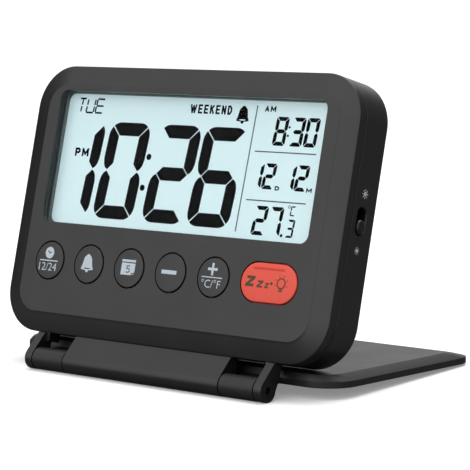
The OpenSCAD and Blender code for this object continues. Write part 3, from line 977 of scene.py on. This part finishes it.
class CLOCK_OT_segments(bpy.types.Operator):
    """Digits, words and dividing lines of the display"""

    bl_idname = "clock.segments"
    bl_label = "Display segments"

    def execute(self, context):
        stroke = sizes().digit_stroke / MM
        rear = GLASS_D[0] - 0.02
        front = rear - 0.05

        def dark(name, marks, make=liquid_crystal_dark):
            printed(name, marks, on_glass, front, rear, make, CLOCK)

        large_v, large_h, large_w, large_r = 40.1, 32.4, 17.9, 4.6
        marks = []
        for sign, x in (("1", -47.9), ("0", -27.9), ("2", -6.0), ("6", 13.2)):
            marks += digit(sign, x, large_v, large_w, large_h, stroke, large_r, 0.42)
        marks += [disc(-16.9, 61.5, 1.05), disc(-17.7, 51.2, 1.05)]
        dark("hour_digits", marks)
        small = []
        for sign, x in (("8", 36.15), ("3", 42.8), ("0", 48.35)):
            small += digit(sign, x, 67.5, 5.0, 9.2, 1.3, 1.0, 0.22)
        small += [disc(39.4, 73.5, 0.38), disc(39.2, 70.8, 0.38)]
        for sign, x in (("1", 29.3), ("2", 34.3), ("1", 42.2), ("2", 47.2)):
            small += digit(sign, x, 53.6, 4.7, 8.2, 1.25, 0.9, 0.22)
        for sign, x in (("2", 33.2), ("7", 39.3)):
            small += digit(sign, x, 39.0, 5.3, 9.3, 1.3, 1.0, 0.22)
        small += digit("3", 45.6, 39.0, 2.9, 5.7, 0.7, 0.5, 0.15)
        small += digit("C", 45.7, 45.8, 1.9, 3.1, 0.42, 0.3, 0.1)
        small += [hoop(44.1, 48.6, 0.5, 0.16), disc(42.5, 39.5, 0.5)]
        dark("small_digits", small)
        lines = [
            bar(25.4, 80, 24.1, 39.6, 0.42), bar(27, 65.4, 51.3, 65.4, 0.38),
            bar(26.5, 49.9, 50.2, 49.9, 0.38),
        ]
        dark("dividing_lines", lines, liquid_crystal_grey)
        dark("day_strokes", self.day_strokes())
        dark("display_bell", [bell(20.0, 74.0, 79.7, 2.5)])
        words = []
        for text, place, thick in (
            ("PM", (-50.2, -44.0, 60.3, 63.2), 0.75),
            ("WEEKEND", (-2.3, 15.2, 76.6, 79.6), 0.62),
            ("AM", (28.6, 33.0, 78.1, 80.0), 0.48),
            ("D", (37.2, 38.9, 53.4, 54.8), 0.4),
            ("M", (49.6, 51.7, 53.4, 54.8), 0.38),
        ):
            words += word(text, place, thick)
        dark("display_words", words)
        return {"FINISHED"}

    def day_strokes(self):
        """The short day name in thin segmented strokes."""
        low, high, thick, slant, part = 75.3, 80.0, 0.6, 0.12, 0.12
        mid = (low + high) / 2

        def stroke(x0, v0, x1, v1):
            return bar(
                x0 + slant * (v0 - mid), v0, x1 + slant * (v1 - mid), v1, thick
            )

        marks = []
        letters = {  # left edge, width, strokes: top, low, mid, left, right, stem
            -51.9: (2.9, "ts"), -48.0: (3.3, "lbr"), -43.8: (3.3, "tmbl"),
        }
        for left, (wide, strokes) in letters.items():
            right, stem = left + wide, left + wide / 2
            for kind in strokes:
                if kind in "tmb":
                    v = {"t": high, "m": mid, "b": low}[kind]
                    marks.append(stroke(left + part, v, right - part, v))
                else:
                    x = {"l": left, "r": right, "s": stem}[kind]
                    marks.append(stroke(x, low + 2 * part, x, mid - 2 * part))
                    marks.append(stroke(x, mid + 2 * part, x, high - 2 * part))
        return marks


class CLOCK_OT_round_buttons(bpy.types.Operator):
    """The five round button caps and their printed marks"""

    bl_idname = "clock.round_buttons"
    bl_label = "Round buttons"

    def execute(self, context):
        crown = sizes().cap_crown / MM
        for name in ROUND_BUTTONS:
            x, v, wide, _ = button_middle(name)
            front, rear = span(name + "_button")[2]
            r = wide / 2
            form = Form()
            form.solid(on_body, circle(r, x, v, 14), [
                (0.85 * r, front), (0.6 * r, front + 0.1 * crown),
                (0.3 * r, front + 0.4 * crown), (0, front + crown, 0.22),
                (0, PANEL_T + 0.02), (-FLANGE, PANEL_T + 0.02, 0.05),
                (-FLANGE, rear, 0.1), (0.5 * r, rear),
            ], 4)
            form.piece(name + "_cap", moulded_abs_satin, name + "_key",
                       [name + "_button"])
            marks = getattr(self, name + "_marks")(x, v)
            form = Form()
            for rims in marks["shapes"]:
                form.plate(on_body, rims, front - 0.03, front + crown)
            for text, place in marks.get("words", ()):
                form.letters(text, place, on_body, front - 0.03, front + crown, -0.006)
            form.piece(name + "_mark", printed_ink_pale, name + "_key")
        return {"FINISHED"}

    def time_marks(self, x, v):
        face = circle(1.95, x - 0.25, v + 2.5, 6)()
        hands = [(-1.3, 3.1), (-1.1, 3.3), (-0.25, 2.62), (0.6, 2.95), (0.7, 2.7),
                 (-0.25, 2.15)]
        return {
            "shapes": [
                [face, [(x + a, v + b) for a, b in hands]],
                box_mark(x - 4.3, x + 3.9, v - 0.3, v + 0.05),
            ],
            "words": [("12/24", (x - 4.3, x + 3.6, v - 3.5, v - 0.85))],
        }

    def alarm_marks(self, x, v):
        return {"shapes": [bell(x - 0.35, v - 2.6, v + 3.3, 2.65)]}

    def calendar_marks(self, x, v):
        five = [(-0.6, 1.2), (0.75, 1.2), (0.75, 0.85), (-0.25, 0.85), (-0.32, 0.3),
                (0.4, 0.3), (0.78, -0.05), (0.78, -0.85), (0.35, -1.25),
                (-0.55, -1.25), (-0.85, -0.85), (-0.5, -0.75), (-0.35, -0.93),
                (0.2, -0.93), (0.42, -0.7), (0.42, -0.2), (0.2, -0.02), (-0.72, -0.02)]
        page = [(-3.1, 1.75), (-3.1, -2.15), (1.4, -2.15), (1.5, -1.5), (2.2, -1.3),
                (2.75, -1.2), (2.8, 1.75)]
        curl = [(1.75, -2.05), (1.8, -1.75), (2.65, -1.5), (2.4, -1.8)]

        def at(rim, dx=0.0, dv=0.0):
            return [(x + a + dx, v + b + dv) for a, b in rim]

        return {"shapes": [
            [at(page), at(five, -0.15, -0.2)], [at(curl)],
            box_mark(x - 3.1, x + 2.8, v + 2.1, v + 2.85),
        ]}

    def minus_marks(self, x, v):
        return {"shapes": [box_mark(x - 3.55, x + 2.75, v - 0.45, v + 0.8)]}

    def plus_marks(self, x, v):
        cx, cv, arm, half = x - 0.4, v + 2.55, 1.95, 0.42
        cross = [(-half, arm), (-half, half), (-arm, half), (-arm, -half),
                 (-half, -half), (-half, -arm), (half, -arm), (half, -half),
                 (arm, -half), (arm, half), (half, half), (half, arm)]
        return {
            "shapes": [
                [[(cx + a, cv + b) for a, b in cross]],
                box_mark(x - 4.5, x + 3.8, v - 0.2, v + 0.12),
            ],
            "words": [("°C/°F", (x - 4.3, x + 3.4, v - 3.4, v - 0.75))],
        }


class CLOCK_OT_snooze_button(bpy.types.Operator):
    """The wide red snooze button, its ridge and its marks"""

    bl_idname = "clock.snooze_button"
    bl_label = "Snooze button"

    def execute(self, context):
        x, v, w, h = button_middle("snooze")
        front, rear = span("snooze_button")[2]
        crown = 0.15
        form = Form()
        form.solid(on_body, rounded(w, h, h / 2, x, v, 14), [
            (0.8 * h / 2, front), (0.5 * h / 2, front + 0.2 * crown),
            (0.22 * h / 2, front + 0.6 * crown), (0, front + 1.3 * crown, 0.35),
            (0, PANEL_T + 0.02), (-FLANGE, PANEL_T + 0.02, 0.05),
            (-FLANGE, rear, 0.1), (0.5 * h / 2, rear),
        ], 4)
        key = "snooze_key"
        form.piece("snooze_cap", moulded_abs_red, key, ["snooze_button"])
        form = Form()
        ridge_l, ridge_w, ridge_up = 12.4, 0.75, 4.45
        form.solid(on_body, rounded(ridge_l, ridge_w, 0.37, x - 0.4, v + ridge_up, 4), [
            (0.12, front - 0.05), (0, front + 0.05), (0, front + 0.4),
        ])
        form.piece("snooze_ridge", painted_ridge_red, key)
        low = front + 0.1
        form = Form()
        for left, right, base, top in (
            (-8.9, -5.1, -1.5, 1.8), (-4.4, -1.8, -1.6, 0.6), (-1.3, 0.45, -1.6, 0.0),
        ):
            form.plate(
                on_body, [zed(x + left, x + right, v + base, v + top)],
                front - 0.03, low,
            )
        bulb_x, bulb_v = x + 5.1, v + 0.25
        marks = [disc(x + 1.35, v - 0.05, 0.5), hoop(bulb_x, bulb_v, 1.75, 0.42),
                 box_mark(bulb_x - 0.8, bulb_x + 0.8, bulb_v - 2.15, bulb_v - 1.8),
                 box_mark(bulb_x - 0.6, bulb_x + 0.6, bulb_v - 2.6, bulb_v - 2.3)]
        for angle in range(-20, 201, 44):
            turn = math.radians(angle)
            marks.append(bar(
                bulb_x + 2.1 * math.cos(turn), bulb_v + 2.1 * math.sin(turn),
                bulb_x + 2.65 * math.cos(turn), bulb_v + 2.65 * math.sin(turn), 0.22,
            ))
        for rims in marks:
            form.plate(on_body, rims, front - 0.03, low)
        form.piece("snooze_mark", printed_ink_olive, key)
        return {"FINISHED"}


class CLOCK_OT_slider(bpy.types.Operator):
    """The brightness slider's knob and the two sun marks beside it"""

    bl_idname = "clock.slider"
    bl_label = "Brightness slider"

    def execute(self, context):
        x, v, d = span("brightness_slider")
        outer = x[1]
        flange_l, flange_w = v[1] - v[0], 5.5
        knob_l, knob_w = flange_l - 1.2, 4.1
        depth, up = middle(d), middle(v)
        form = Form()
        form.solid(on_side, rounded(knob_w, knob_l, knob_w / 2, depth, up, 10), [
            (1.0, x[0] + 1.8), (0, x[0] + 1.8), (0, outer - 0.75, 0.2),
            (0.35, outer - 0.3, 0.3), (1.0, outer - 0.02, 0.4), (1.75, outer),
        ], 3)
        form.solid(on_side, rounded(flange_w, flange_l, 0.9, depth, up, 4), [
            (0, x[0] + 0.8), (0, x[0] + 1.9),
        ])
        form.solid(on_side, rounded(1.8, 1.6, 0.2, depth, up, 2), [
            (0, x[0]), (0, x[0] + 0.9),
        ])
        form.piece("slider_knob", moulded_abs_black, "slider",
                   ["brightness_slider"])
        wall = SHELL_X[1]
        bright_v, dim_v, rays, ray_t = 54.8, 37.3, 8, 0.3
        marks = sun(depth, bright_v, rays, 0.95, 1.5, ray_t, disc(depth, bright_v, 0.7))
        marks += sun(depth, dim_v, rays, 0.9, 1.15, ray_t, disc(depth, dim_v, 0.62))
        printed("brightness_marks", marks, on_side, wall + 0.03, wall - 0.05,
                printed_ink_pale, CLOCK)
        return {"FINISHED"}


class CLOCK_OT_battery_door(bpy.types.Operator):
    """The battery door, its tray, contacts and the two cells"""

    bl_idname = "clock.battery_door"
    bl_label = "Battery door and cells"

    def execute(self, context):
        carry_over("battery_door", moulded_abs_matt, 0.15)
        x, v, _ = span("battery_door")
        rib_l, rib_w, first_rib, rib_pitch = 11, 0.55, 6.4, 1.3
        form = Form()
        for i in range(3):
            form.solid(
                on_body,
                rounded(
                    rib_l, rib_w, 0.25, middle(x), v[1] - first_rib - rib_pitch * i, 3
                ),
                [(0, BODY_T - 0.2), (0, BODY_T + 0.1), (0.15, BODY_T + 0.22)],
            )
        form.piece("door_grip", moulded_abs_matt, "door")
        carry_over("battery_tray", moulded_abs_inner, 0.1)
        carry_over("battery_contacts", plated_nickel_spring)
        carry_over("battery_springs", plated_nickel_spring)
        for node, way in (("battery_upper", 1), ("battery_lower", -1)):
            self.cell(node, way)
        return {"FINISHED"}

    def cell(self, node, way):
        """A sleeved cell: black body, copper band, bare steel ends."""
        x, v, d = span(node)
        centre, up, depth = middle(x), middle(v), middle(d)
        r, half = (v[1] - v[0]) / 2, (x[1] - x[0]) / 2

        def along(a, b, run):
            return on_body(centre + way * run, up + a, depth + b)

        band, crimp = 0.24 * 2 * half, 0.8
        form = Form()
        rim = circle(r, 0, 0, 8)
        sleeve = form.sweep(along, rim, [
            (0.9, -half + 0.05), (0.25, -half), (0, -half + 0.35, 0.2),
            (0, half - band),
        ])
        copper = form.sweep(along, rim, [
            (0, half - band), (0, half - crimp - 0.35, 0.3),
            (0.5, half - crimp), (0.9, half - crimp),
        ])
        bmesh.ops.remove_doubles(
            form.mesh, verts=[*sleeve[1], *copper[0]], dist=0.001 * MM
        )
        form.mesh.verts.ensure_lookup_table()
        copper_faces = {
            face for face in form.mesh.faces
            if all((c.co - along(0, 0, half - band)).dot(ACROSS) * way > -1e-6
                   for c in face.verts)
        }
        steel = len(form.mesh.faces)
        form.face(sleeve[0])
        tip = form.sweep(along, rim, [
            (0.9, half - crimp), (1.6, half - crimp - 0.1, 0.1),
            (r - 2.1, half - crimp - 0.05, 0.1), (r - 1.9, half - 0.1, 0.1),
            (r - 1.5, half),
        ])
        bmesh.ops.remove_doubles(
            form.mesh, verts=[*copper[1], *tip[0]], dist=0.001 * MM
        )
        form.face([corner for corner in tip[1] if corner.is_valid])
        form.mesh.faces.ensure_lookup_table()
        for i, face in enumerate(form.mesh.faces):
            face.material_index = 1 if face in copper_faces else 2 * (i >= steel)
        made = form.piece(node.replace("battery", "cell"), printed_sleeve_black,
                          CLOCK, [node])
        made.data.materials.append(finish_of(printed_sleeve_copper))
        made.data.materials.append(finish_of(plated_nickel_spring))


class CLOCK_OT_inner_parts(bpy.types.Operator):
    """Board, switches, backlight, ribbon, chips and screws inside the case"""

    bl_idname = "clock.inner_parts"
    bl_label = "Inner parts"

    def execute(self, context):
        carry_all((
            ("backlight_panel", moulded_acrylic_white, 0.1),
            ("backlight_leds", potted_phosphor_white, 0.05),
            ("display_ribbon", laminated_polyimide, 0.0),
            ("main_board", laminated_epoxy_green, 0.0),
            ("control_chip", moulded_epoxy_black, 0.1),
            ("crystal_can", plated_nickel_spring, 0.1),
            ("temperature_sensor", moulded_epoxy_black, 0.2),
            ("buzzer", moulded_epoxy_black, 0.2),
            ("dome_switches", plated_nickel_spring, 0.1),
            ("slide_switch", plated_nickel_spring, 0.1),
            ("board_screws", plated_steel_screw, 0.1),
            ("case_screws", plated_steel_screw, 0.08),
        ))
        return {"FINISHED"}


class CLOCK_OT_hinge(bpy.types.Operator):
    """The barrel hinge: end arms, centre block, pins, washers and screws"""

    bl_idname = "clock.hinge"
    bl_label = "Barrel hinge"

    def execute(self, context):
        carry_all((
            ("hinge_arm_left", moulded_abs_matt, 0.25),
            ("hinge_arm_right", moulded_abs_matt, 0.25),
            ("hinge_block", moulded_abs_matt, 0.25),
            ("hinge_pins", blackened_steel_pin, 0.15),
            ("hinge_washers", turned_nylon_white, 0.0),
            ("hinge_screws", plated_steel_screw, 0.05),
        ))
        return {"FINISHED"}


class CLOCK_OT_stand(bpy.types.Operator):
    """The flat folding stand: sloped cover, lower shell, screws and feet"""

    bl_idname = "clock.stand"
    bl_label = "Folding stand"

    def execute(self, context):
        x, y, z = span("stand_cover", HINGE, (ACROSS, STAND_BACK, STAND_UP))
        side = sizes().stand_slope / MM
        front_slope, rear_slope = 0.8, 9.5
        front_corner, rear_corner = (11.0, 7.5), (7.0, 4.0)
        low, high = z

        def outline(share):
            wide = x[1] - x[0] - 2 * side * share
            near, far = y[0] + front_slope * share, y[1] - rear_slope * share
            front_r, rear_r = (
                low_r + (high_r - low_r) * share
                for low_r, high_r in (front_corner, rear_corner)
            )
            return rounded(
                wide, far - near, front_r, middle(x), (near + far) / 2, 12, rear_r
            )()

        bulge = 0.22
        slope = [(t, t * (1 + bulge * (1 - t))) for t in (0, 0.05, 0.35, 0.65, 0.95, 1)]
        form = Form()
        form.solid(on_stand, outline, [
            (0.3, low), (0, low, 0.05),
            *[(a, low + 0.1 + b * (high - low - 0.1)) for a, b in slope],
            (1.06, high), (1.2, high),
        ], 2)
        form.piece("stand_top", painted_soft_touch, STAND,
                   ["stand_cover"])
        carry_all((
            ("stand_base", painted_soft_touch, 0.18),
            ("stand_screws", plated_steel_screw, 0.1),
            ("stand_feet", moulded_rubber_black, 0.1),
        ))
        return {"FINISHED"}


class CLOCK_OT_stage(bpy.types.Operator):
    """Pale floor, soft studio light and the camera"""

    bl_idname = "clock.stage"
    bl_label = "Stage"

    def execute(self, context):
        scene = context.scene
        scene.view_settings.view_transform = "Standard"
        level = CAD_BOX[0].z
        half = 8.0
        data = bpy.data.meshes.new("floor")
        data.from_pydata(
            [(-half, -half, level), (half, -half, level), (half, half, level),
             (-half, half, level)], [], [(0, 1, 2, 3)],
        )
        floor = bpy.data.objects.new("floor", data)
        scene.collection.objects.link(floor)
        data.materials.append(finish_of(painted_board_pale))
        self.light(scene)
        self.camera(scene)
        return {"FINISHED"}

    def light(self, scene):
        """A bright room, with dark flags to the left and the rear right, and a
        soft key from the front left."""
        world = bpy.data.worlds.new("studio")
        world.use_nodes = True
        tree = world.node_tree
        tree.nodes.clear()
        towards = add(tree, "TexCoord").outputs["Generated"]
        level = 1.0
        for way, start, end, change in (
            ((-0.97, -0.22, 0.1), 0.78, 0.93, -0.97),
            ((0.68, 0.73, 0.0), 0.3, 0.8, -0.8),
            ((-0.45, -0.83, 0.33), 0.68, 0.95, 0.7),
        ):
            facing = add(tree, "VectorMath", {0: towards, 1: way},
                         operation="DOT_PRODUCT").outputs["Value"]
            share = add(
                tree, "MapRange", {"Value": facing, "From Min": start, "From Max": end},
                interpolation_type="SMOOTHSTEP",
            ).outputs["Result"]
            level = add(tree, "Math", {0: share, 1: change, 2: level},
                        operation="MULTIPLY_ADD").outputs[0]
        room = add(tree, "Background", {"Color": (1, 1, 1, 1), "Strength": level})
        add(tree, "OutputWorld", {"Surface": room.outputs["Background"]})
        scene.world = world
        place, aim = Vector((0.15, 0.25, 1.3)), Vector((0, 0, 0.03))
        side_m, watts = 0.9, 9.0
        lamp = bpy.data.lights.new("overhead", "AREA")
        lamp.shape, lamp.size, lamp.energy = "SQUARE", side_m, watts
        holder = bpy.data.objects.new("overhead", lamp)
        scene.collection.objects.link(holder)
        holder.location = place
        holder.rotation_euler = (aim - place).to_track_quat("-Z", "Y").to_euler()

    def camera(self, scene):
        """A long lens from the front right, a little above the clock."""
        data = bpy.data.cameras.new("camera")
        data.sensor_width, data.lens = 36.0, 168.2
        data.clip_end = 50
        eye = bpy.data.objects.new("camera", data)
        scene.collection.objects.link(eye)
        ahead = Vector((-0.6349, 0.7607, -0.1351)).normalized()
        over = Vector((-0.0685, 0.1188, 0.9905))
        right = ahead.cross(over).normalized()
        over = right.cross(ahead)
        eye.matrix_world = matrix_of(right, over, -ahead, (0.4626, -0.5491, 0.1410))
        scene.camera = eye


def matrix_of(right, over, behind, place):
    """A placing matrix from three axes and a point."""
    made = Matrix((right, over, behind)).transposed().to_4x4()
    made.translation = place
    return made


def painted_board_pale():
    # Matt white board: bright and even to the camera, which also sees a faint glow,
    # so that only soft shadows show. All other rays meet a grey of 0.16: painted shade
    # on the clock's lower faces and in its walls' reflections.
    made = surface(
        "painted_board_pale", linear("#f6f6f6"), 0.7, 2.0, 0.0, 0.003, 400.0,
        **{"Specular IOR Level": 0.2, "Emission Color": (1, 1, 1, 1),
           "Emission Strength": 0.22},
    )
    tree = made.node_tree
    seen = next(n for n in tree.nodes if n.type == "BSDF_PRINCIPLED").outputs[0]
    end = next(n for n in tree.nodes if n.type == "OUTPUT_MATERIAL").inputs[0]
    # Grey that every ray but the camera's sees: painted shade, darkening what the floor throws
    # back on the clock.
    share = 0.16
    painted_shade_thrown = add(tree, "BsdfDiffuse", {"Color": (share, share, share, 1)}).outputs[0]
    direct = add(tree, "LightPath").outputs["Is Camera Ray"]
    tree.links.new(
        add(tree, "MixShader", {0: direct, 1: painted_shade_thrown, 2: seen}).outputs[0], end
    )
    return made


class CLOCK_PT_panel(bpy.types.Panel):
    """Lists the clock's pieces and their settings"""

    bl_label = "Alarm clock"
    bl_idname = "CLOCK_PT_panel"
    bl_space_type = "VIEW_3D"
    bl_region_type = "UI"
    bl_category = "Clock"

    def draw(self, context):
        for group in (sizes(), colours()):
            for name in group.__annotations__:
                self.layout.prop(group, name)
        for step in STEPS:
            self.layout.operator(step.bl_idname)


STEPS = (
    CLOCK_OT_front_bezel, CLOCK_OT_rear_shell, CLOCK_OT_display, CLOCK_OT_segments,
    CLOCK_OT_round_buttons, CLOCK_OT_snooze_button, CLOCK_OT_slider,
    CLOCK_OT_battery_door, CLOCK_OT_inner_parts, CLOCK_OT_hinge, CLOCK_OT_stand,
    CLOCK_OT_stage,
)
CLASSES = (ClockSizes, ClockColours, *STEPS, CLOCK_PT_panel)


def register():
    for kind in CLASSES:
        bpy.utils.register_class(kind)
    bpy.types.Scene.clock_sizes = bpy.props.PointerProperty(type=ClockSizes)
    bpy.types.Scene.clock_colours = bpy.props.PointerProperty(type=ClockColours)


def unregister():
    del bpy.types.Scene.clock_colours
    del bpy.types.Scene.clock_sizes
    for kind in reversed(CLASSES):
        bpy.utils.unregister_class(kind)


def main():
    register()
    for step in STEPS:
        group, action = step.bl_idname.split(".")
        getattr(getattr(bpy.ops, group), action)()


if __name__ == "__main__":
    main()
